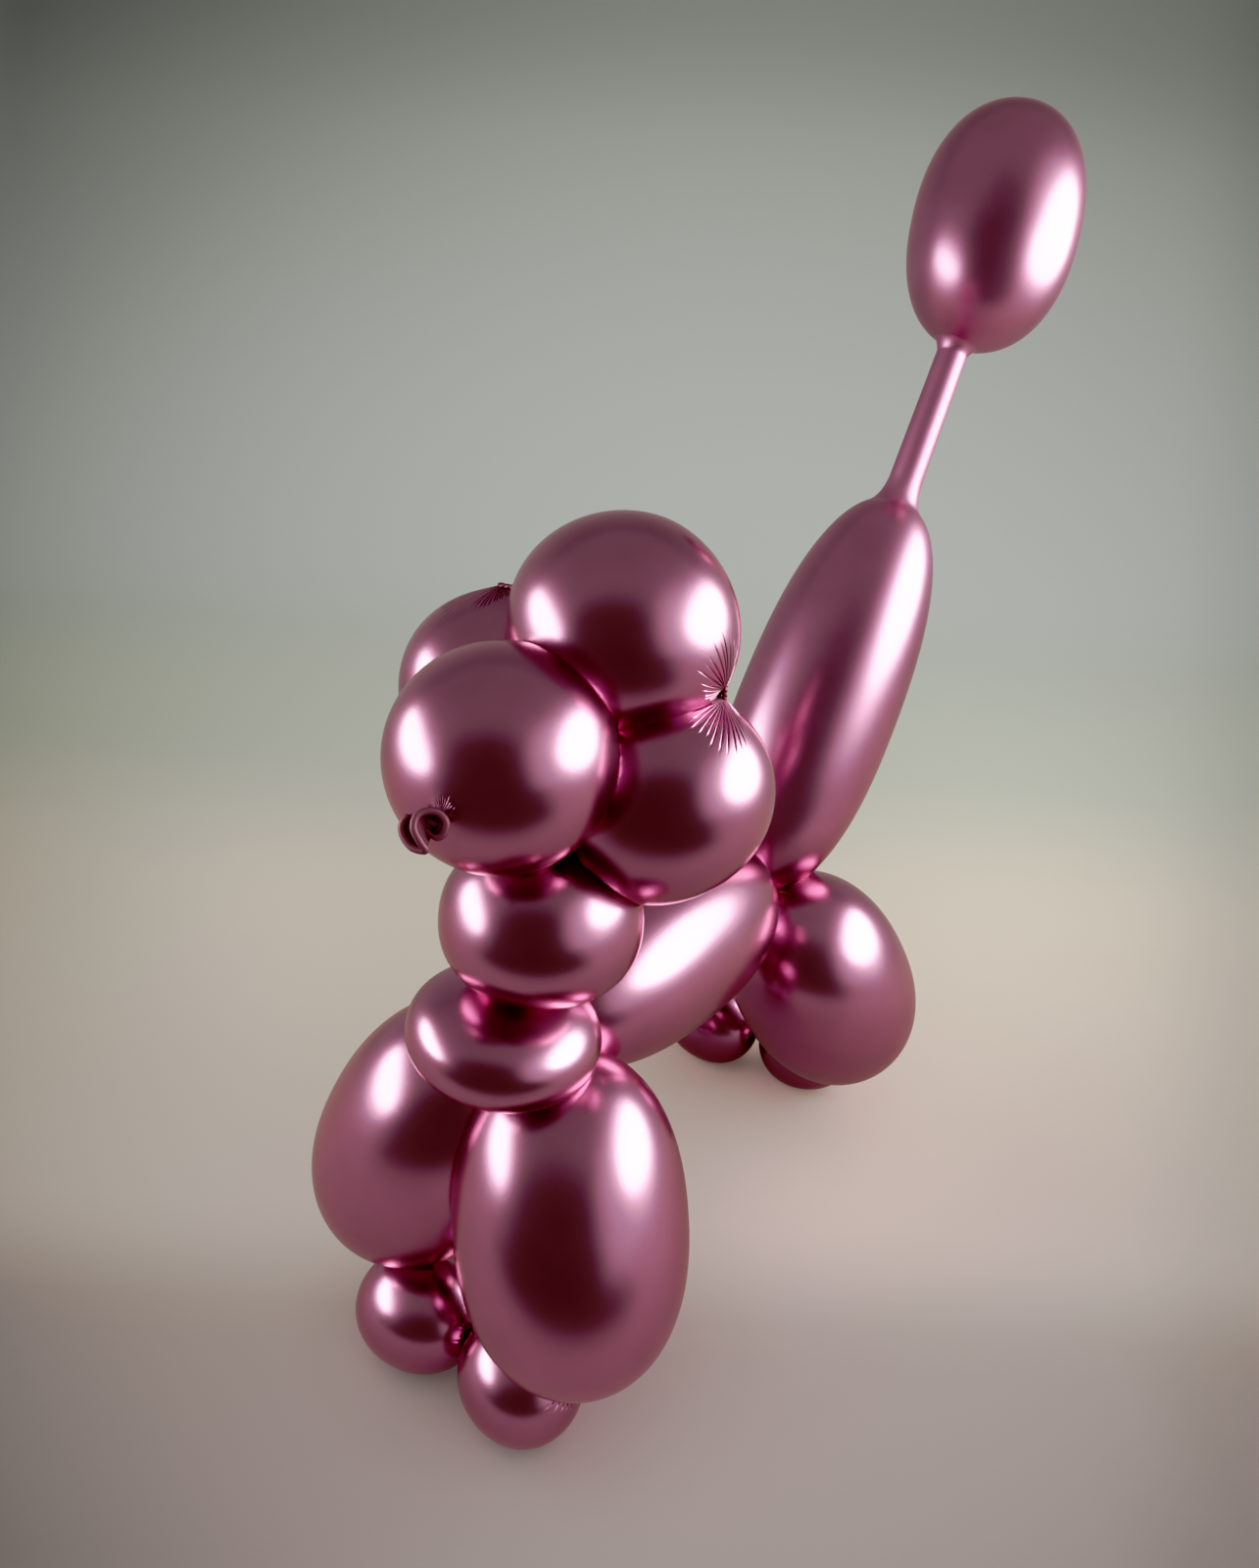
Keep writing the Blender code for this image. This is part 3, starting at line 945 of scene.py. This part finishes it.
def make_bubble(name, grid, first_pleats, last_pleats):
    """Make one bubble of the run as a finished piece."""
    finish_skin(name, *bubble_points(name, grid, first_pleats, last_pleats))


# ---------------------------------------------------------------------------
# The head: the snout in front, and an ear, the topknot and the other ear behind it. They are
# bubbles of the same tube, and a twist at the ears' lower ends locks them on the neck.
# ---------------------------------------------------------------------------

# Rows and columns of each skin, with more of them where its pleats are fine.
SNOUT_GRID = (92, 320)
RIGHT_EAR_GRID = (84, 440)
TOPKNOT_GRID = (88, 560)
LEFT_EAR_GRID = (88, 560)
NOZZLE_PLEATS = Pleats(34, 0.22, 4.2, 0.45, 2.0, 2, (0.25, 0.1, 0.95))
TOPKNOT_RIGHT = Pleats(40, 0.4, 11.0, 0.45, 4.0, 6)
TOPKNOT_LEFT = Pleats(38, 0.5, 14.0, 0.5, 3.0, 7, (0.2, -0.45, 0.85))
LEFT_EAR_TOP = Pleats(44, 0.6, 14.5, 0.55, 3.0, 8, (0.4, -0.9, -0.3))
RIGHT_EAR_TOP = Pleats(50, 0.6, 17.5, 0.5, 3.6, 5, (-0.75, -0.65, -0.15))

make_bubble("snout", SNOUT_GRID, NOZZLE_PLEATS, USUAL._replace(seed=3))
make_bubble("right_ear", RIGHT_EAR_GRID, USUAL._replace(seed=4), RIGHT_EAR_TOP)
make_bubble("topknot", TOPKNOT_GRID, TOPKNOT_RIGHT, TOPKNOT_LEFT)
make_bubble("left_ear", LEFT_EAR_GRID, LEFT_EAR_TOP, USUAL._replace(seed=9))


# ---------------------------------------------------------------------------
# The neck: two short bubbles of the tube, squeezed between the head and the chest. The twist
# between them is hidden in their crease.
# ---------------------------------------------------------------------------

NECK_GRID = (88, 168)

make_bubble("upper_neck", NECK_GRID, USUAL._replace(seed=10), USUAL._replace(seed=11))
make_bubble("lower_neck", NECK_GRID, USUAL._replace(seed=12), USUAL._replace(seed=13))


# ---------------------------------------------------------------------------
# The legs and feet: each leg is a long bubble of the tube, and the two feet of a pair are
# small ones that lie between them on the floor.
# ---------------------------------------------------------------------------

LEG_GRID = (112, 180)
FOOT_GRID = (88, 200)
PLEATED_FOOT_GRID = (92, 300)
FOOT_PLEATS = Pleats(22, 0.32, 8.0, 0.5, 2.4, 14)
ANKLE_PLEATS = Pleats(26, 0.7, 9.5, 0.55, 2.4, 15)
LEGS = ("front_right_leg", "front_left_leg", "rear_right_leg", "rear_left_leg")

for number, name in enumerate(LEGS):
    make_bubble(name, LEG_GRID, USUAL._replace(seed=20 + number), USUAL._replace(seed=30 + number))
make_bubble("front_right_foot", FOOT_GRID, FOOT_PLEATS._replace(seed=40), FOOT_PLEATS._replace(seed=50))
make_bubble("front_left_foot", PLEATED_FOOT_GRID, FOOT_PLEATS._replace(seed=41), ANKLE_PLEATS)
make_bubble("rear_right_foot", FOOT_GRID, FOOT_PLEATS._replace(seed=42), FOOT_PLEATS._replace(seed=52))
make_bubble("rear_left_foot", FOOT_GRID, FOOT_PLEATS._replace(seed=43), FOOT_PLEATS._replace(seed=53))


# ---------------------------------------------------------------------------
# The body: one long bubble of the tube. The front legs are twisted together round one end
# of it, at the chest, and the rear legs round the other, at the hips.
# ---------------------------------------------------------------------------

BODY_GRID = (124, 192)

make_bubble("body", BODY_GRID, USUAL._replace(seed=60), USUAL._replace(seed=61))


# ---------------------------------------------------------------------------
# The tail, the stem and the pompom are one length of the tube without a twist. The stem was
# never blown up, so it keeps its own narrow width between the two bubbles.
# ---------------------------------------------------------------------------

# Rows of each part, before the bubbles are cut back to their fillets, and columns of all.
TAIL_ROWS = 140
FILLET_ROWS = 20
STEM_ROWS = 44
POMPOM_ROWS = 120
TAIL_COLUMNS = 200
# Where the stem meets the pompom, and how wide it is at its lower and its upper end.
STEM_TOP = (10.5, 140.6, 244.3)
STEM_WIDTHS = (10.3, 9.3)
# The rings of each bubble end at a distance from its tip. From there a fillet runs to the
# stem, which it reaches at a distance beyond the tip, and its curves pull this hard.
TAIL_ROOT_RING = 8.5
TAIL_FILLET = 7.5
TAIL_PULL = 10.0
POMPOM_ROOT_RING = 7.0
POMPOM_FILLET = 2.8
POMPOM_PULL = 3.0
# The stem's stretch and the tail's, how far inside the tips it starts to change, and over
# what distance. From the twist on the hip outwards, the colour turns full between two more.
STEM_STRETCH = 0.28
TAIL_STRETCH = 0.555
STEM_INSET = 3.0
STEM_INFLUENCE = 9.0
FULL_COLOUR_FROM = (10.0, 30.0)


def fillet_rows(ring, ring_tangent, stem_ring, stem_tangent, pull, rows):
    """Return rows between two rings on cubic curves that leave each ring along its tangent.

    Two of the weights take the curve from ring to ring, and the other two give it its slopes.
    """
    t = np.linspace(0.0, 1.0, rows + 2)[1:-1, None, None]
    h00 = 2 * t ** 3 - 3 * t ** 2 + 1
    h10 = t ** 3 - 2 * t ** 2 + t
    h01 = -2 * t ** 3 + 3 * t ** 2
    h11 = t ** 3 - t ** 2
    return h00 * ring + h10 * pull * ring_tangent + h01 * stem_ring + h11 * pull * stem_tangent


def stem_circle(centre, along, width, ring):
    """Return the stem's circle whose points face the points of a ring."""
    arm = ring - centre
    arm = arm - (arm @ along)[:, None] * along
    return centre + width / 2 * unit(arm)


def way_round(ring, centre, along):
    """Return 1 or -1: the way that a ring's points run round a direction."""
    return int(np.sign(np.cross(ring[0] - centre, ring[1] - centre) @ along))


def facing_columns(ring, centre, other, other_centre, along):
    """Return the order in which the points of another ring face the points of a ring."""
    arm = ring[0] - centre
    arm = unit(arm - (arm @ along) * along)
    first = int(np.argmax((other - other.mean(axis=0)) @ arm))
    step = way_round(ring, centre, along) * way_round(other, other_centre, along)
    return (first + step * np.arange(len(ring))) % len(ring)


def tail_to_pompom():
    """Return the tail, fillet, stem, fillet and pompom as one grid of rings, with its stretch.

    With d the distance from the stem, the stretch goes from the stem's to the tail's by
    1 - e^(-d / influence). It also falls to nothing at the twist on the hip.
    """
    tail_tip = np.array(RUN["tail"][2])
    pompom_tip = on_skin("pompom", np.array(STEM_TOP))
    along = unit(pompom_tip - tail_tip)
    tail = skin_grid(bubbles["tail"], starts["tail"], tail_tip, TAIL_ROWS, TAIL_COLUMNS)
    tail = press_on_neighbours("tail", tail)
    tail = draw_to(tail, 0, starts["tail"], USUAL.draw)
    depth = pleat_depth(tail, 0, USUAL._replace(seed=62))
    tail = tail - depth[..., None] * grid_normals(tail)
    keep = np.linalg.norm(tail[:, 0] - tail_tip, axis=-1) > TAIL_ROOT_RING
    tail = tail[: np.flatnonzero(keep)[-1] + 1]

    far_tip = np.array(RUN["pompom"][2])
    pompom = skin_grid(bubbles["pompom"], pompom_tip, far_tip, POMPOM_ROWS, TAIL_COLUMNS)
    keep = np.linalg.norm(pompom[:, 0] - pompom_tip, axis=-1) > POMPOM_ROOT_RING
    pompom = pompom[np.flatnonzero(keep)[0]:]
    pompom = pompom[:, facing_columns(tail[-1], tail_tip, pompom[0], pompom_tip, along)]

    low = stem_circle(tail_tip + TAIL_FILLET * along, along, STEM_WIDTHS[0], tail[-1])
    high = stem_circle(pompom_tip - POMPOM_FILLET * along, along, STEM_WIDTHS[1], pompom[0])
    stem = blend(low, high, np.linspace(0.0, 1.0, STEM_ROWS)[:, None, None])
    tail_slope = unit(tail[-1] - tail[-2])
    pompom_slope = unit(pompom[0] - pompom[1])
    lower = fillet_rows(tail[-1], tail_slope, low, along, TAIL_PULL, FILLET_ROWS)
    upper = fillet_rows(pompom[0], pompom_slope, high, -along, POMPOM_PULL, FILLET_ROWS)[::-1]
    grid = np.concatenate([tail, lower, stem, upper, pompom])

    from_middle = np.abs((grid - (tail_tip + pompom_tip) / 2) @ along)
    half_way = np.linalg.norm(pompom_tip - tail_tip) / 2
    from_stem = np.maximum(from_middle - half_way + STEM_INSET, 0.0)
    stretch = blend(TAIL_STRETCH, STEM_STRETCH, np.exp(-from_stem / STEM_INFLUENCE))
    from_twist = np.linalg.norm(grid - grid[0, 0], axis=-1)
    return grid, (1 - np.exp(-from_twist / SLACK_REACH)) * stretch


tail_grid, tail_stretch = tail_to_pompom()
tail_piece = finish_skin("tail_stem_and_pompom", tail_grid, tail_stretch)
from_hip = np.linalg.norm(tail_grid - starts["tail"], axis=-1)
add_attribute(tail_piece, "thick", skin_order(soft_step(from_hip, *FULL_COLOUR_FROM)))


# ---------------------------------------------------------------------------
# The twisted necks: between two bubbles the tube is wrung to a thin solid cord of rubber,
# which is ribbed along the way that it was turned. Each runs a little into both skins.
# ---------------------------------------------------------------------------

NECK_WAIST = 0.5
NECK_FLARE = 0.15
NECK_INTO_SKIN = 0.5
NECK_RIBS = 3
NECK_TURN = 1.5
NECK_RIB_HEIGHT = 0.16
NECK_ROWS = 26
NECK_COLUMNS = 36


def neck_points(start, end):
    """Return a wrung cord as a grid of rings.

    Its radius is waist + flare (2 s - 1)^2 for the share s of its length, and its ribs are a
    cosine round it that turns steadily with the length in millimetres.
    """
    along = unit(end - start)
    side = across(along)
    length = np.linalg.norm(end - start)
    share = np.linspace(0.0, 1.0, NECK_ROWS)[:, None]
    place = -NECK_INTO_SKIN + (length + 2 * NECK_INTO_SKIN) * share
    turn = np.linspace(0.0, 2 * math.pi, NECK_COLUMNS, endpoint=False)[None, :]
    radius = NECK_WAIST + NECK_FLARE * (2 * share - 1) ** 2
    radius = radius * (1 + NECK_RIB_HEIGHT * np.cos(NECK_RIBS * (turn + NECK_TURN * place)))
    radius[[0, -1]] = 0.0
    rings = np.cos(turn)[..., None] * side + np.sin(turn)[..., None] * np.cross(along, side)
    return start + place[..., None] * along + radius[..., None] * rings


for (first, second), (start, end) in twists.items():
    cord = neck_points(start, end)
    finish_skin("neck_" + first + "_to_" + second, cord, np.zeros(cord.shape[:2]))


# ---------------------------------------------------------------------------
# The nozzle: behind an overhand knot the end of the tube opens into a thin trumpet with a
# rolled lip. It was never stretched, and it hangs folded into two loops over the knot.
# ---------------------------------------------------------------------------

# Where the nozzle is, and its own directions: sideways, up and forward.
NOZZLE_PLACE = np.array([9.5, -94.1, 177.8])
NOZZLE_SIDE = np.array([0.826, 0.562, 0.047])
NOZZLE_RISE = np.array([-0.287, 0.347, 0.893])
NOZZLE_FRONT = np.array([0.485, -0.751, 0.448])
NOZZLE_AXES = np.stack([NOZZLE_SIDE, NOZZLE_RISE, NOZZLE_FRONT])
LIP_RADIUS = 0.74
LIP_COLUMNS = 240
BEAD_ROWS = 14
SHEET_THICKNESS = 0.6
SHEET_BELLY = 0.8
SHEET_ROOT = (1.0, 1.3, -1.7)
# How much of the way to its root the sheet runs: the knot hides the rest.
SHEET_REACH = 0.85
SHEET_ROWS = 16
KNOT_PLACE = (2.3, 1.8, -1.7)
KNOT_SIZE = 0.62
KNOT_CORD = 0.8
KNOT_ROWS = 20
KNOT_COLUMNS = 200

# The rolled lip's path: sideways, up and forward from the nozzle's place.
LIP_PATH = (
    (0.35, -3.5, 1.0),
    (-0.5, -1.8, 1.8),
    (-1.5, 0.5, 2.2),
    (-1.05, 2.65, 1.9),
    (0.5, 3.6, 1.4),
    (2.65, 3.35, 0.9),
    (4.05, 1.6, 0.5),
    (3.5, -0.55, 0.2),
    (2.1, -1.25, 0.0),
    (0.7, -0.35, -0.6),
    (-0.9, 1.05, -1.0),
    (-2.65, 2.8, -0.6),
    (-4.0, 1.25, -0.3),
    (-3.8, -0.9, -0.2),
    (-2.1, -3.0, 0.3),
)


def on_nozzle(points):
    """Turn sideways, up and forward from the nozzle's place into design millimetres."""
    return NOZZLE_PLACE + np.asarray(points, float) @ NOZZLE_AXES


def closed_curve(points, count):
    """Return a smooth closed curve through points: on each span, a cubic through four of them."""
    span, t = np.divmod(np.arange(count) * len(points) / count, 1.0)
    span = span.astype(int)
    before, a, b, after = (points[(span + step) % len(points)] for step in (-1, 0, 1, 2))
    t = t[:, None]
    return 0.5 * (
        2 * a
        + (b - before) * t
        + (2 * before - 5 * a + 4 * b - after) * t ** 2
        + (3 * a - before - 3 * b + after) * t ** 3
    )


def ring_faces(rows, columns):
    """Return the quads of a grid that closes on itself both ways."""
    row = np.arange(rows)[:, None] * columns
    column = np.arange(columns)[None, :]
    next_row = (row + columns) % (rows * columns)
    next_column = (column + 1) % columns
    corners = [row + column, row + next_column, next_row + next_column, next_row + column]
    return np.stack(np.broadcast_arrays(*corners), axis=-1).reshape(-1, 4).tolist()


def trumpet_points():
    """Return the trumpet as a closed strip round its lip: a thin sheet with a bead at its edge.

    Every column runs from the knot along one side of the sheet, round the bead and back along
    the other side. The sheet bellies backwards by the sine of its share of the way.
    """
    lip = on_nozzle(closed_curve(np.array(LIP_PATH), LIP_COLUMNS))
    root = on_nozzle(SHEET_ROOT)
    inward = unit(root - lip)
    reach = np.linalg.norm(root - lip, axis=-1)
    sideways = unit(np.cross(np.roll(lip, -1, axis=0) - np.roll(lip, 1, axis=0), inward))
    meeting = math.asin(SHEET_THICKNESS / 2 / LIP_RADIUS)
    share = np.linspace(1.0, 0.0, SHEET_ROWS, endpoint=False)[:, None]
    edge = LIP_RADIUS * math.cos(meeting)
    sheet_in = edge + (SHEET_REACH * reach - edge) * share
    angle = np.linspace(meeting, 2 * math.pi - meeting, BEAD_ROWS)[:, None]
    bead_in = LIP_RADIUS * np.cos(angle) + 0 * reach
    bead_side = LIP_RADIUS * np.sin(angle) + 0 * reach
    flat_side = np.full_like(sheet_in, SHEET_THICKNESS / 2)
    inwards = np.concatenate([sheet_in, bead_in, sheet_in[::-1]])
    aside = np.concatenate([flat_side, bead_side, -flat_side])
    belly = np.sin(math.pi * np.concatenate([share, 0 * angle, share[::-1]])) * SHEET_BELLY
    points = lip + inwards[..., None] * inward + aside[..., None] * sideways
    return points - belly[..., None] * NOZZLE_FRONT


def knot_points():
    """Return an overhand knot: a round cord along (sin t + 2 sin 2t, cos t - 2 cos 2t, -sin 3t)."""
    t = np.linspace(0.0, 2 * math.pi, KNOT_COLUMNS, endpoint=False)
    sideways = np.sin(t) + 2 * np.sin(2 * t)
    upwards = np.cos(t) - 2 * np.cos(2 * t)
    path = np.stack([sideways, upwards, -np.sin(3 * t)], axis=-1)
    path = on_nozzle(KNOT_PLACE) + KNOT_SIZE * path @ NOZZLE_AXES
    along = unit(np.roll(path, -1, axis=0) - np.roll(path, 1, axis=0))
    aside = unit(np.cross(along, NOZZLE_FRONT))
    other = np.cross(along, aside)
    turn = np.linspace(0.0, 2 * math.pi, KNOT_ROWS, endpoint=False)[:, None, None]
    return path + KNOT_CORD * (np.cos(turn) * aside + np.sin(turn) * other)


for name, grid in (("nozzle_lip", trumpet_points()), ("nozzle_knot", knot_points())):
    flat = grid.reshape(-1, 3)
    finish_rubber(name, flat, ring_faces(*grid.shape[:2]), np.zeros(len(flat)))
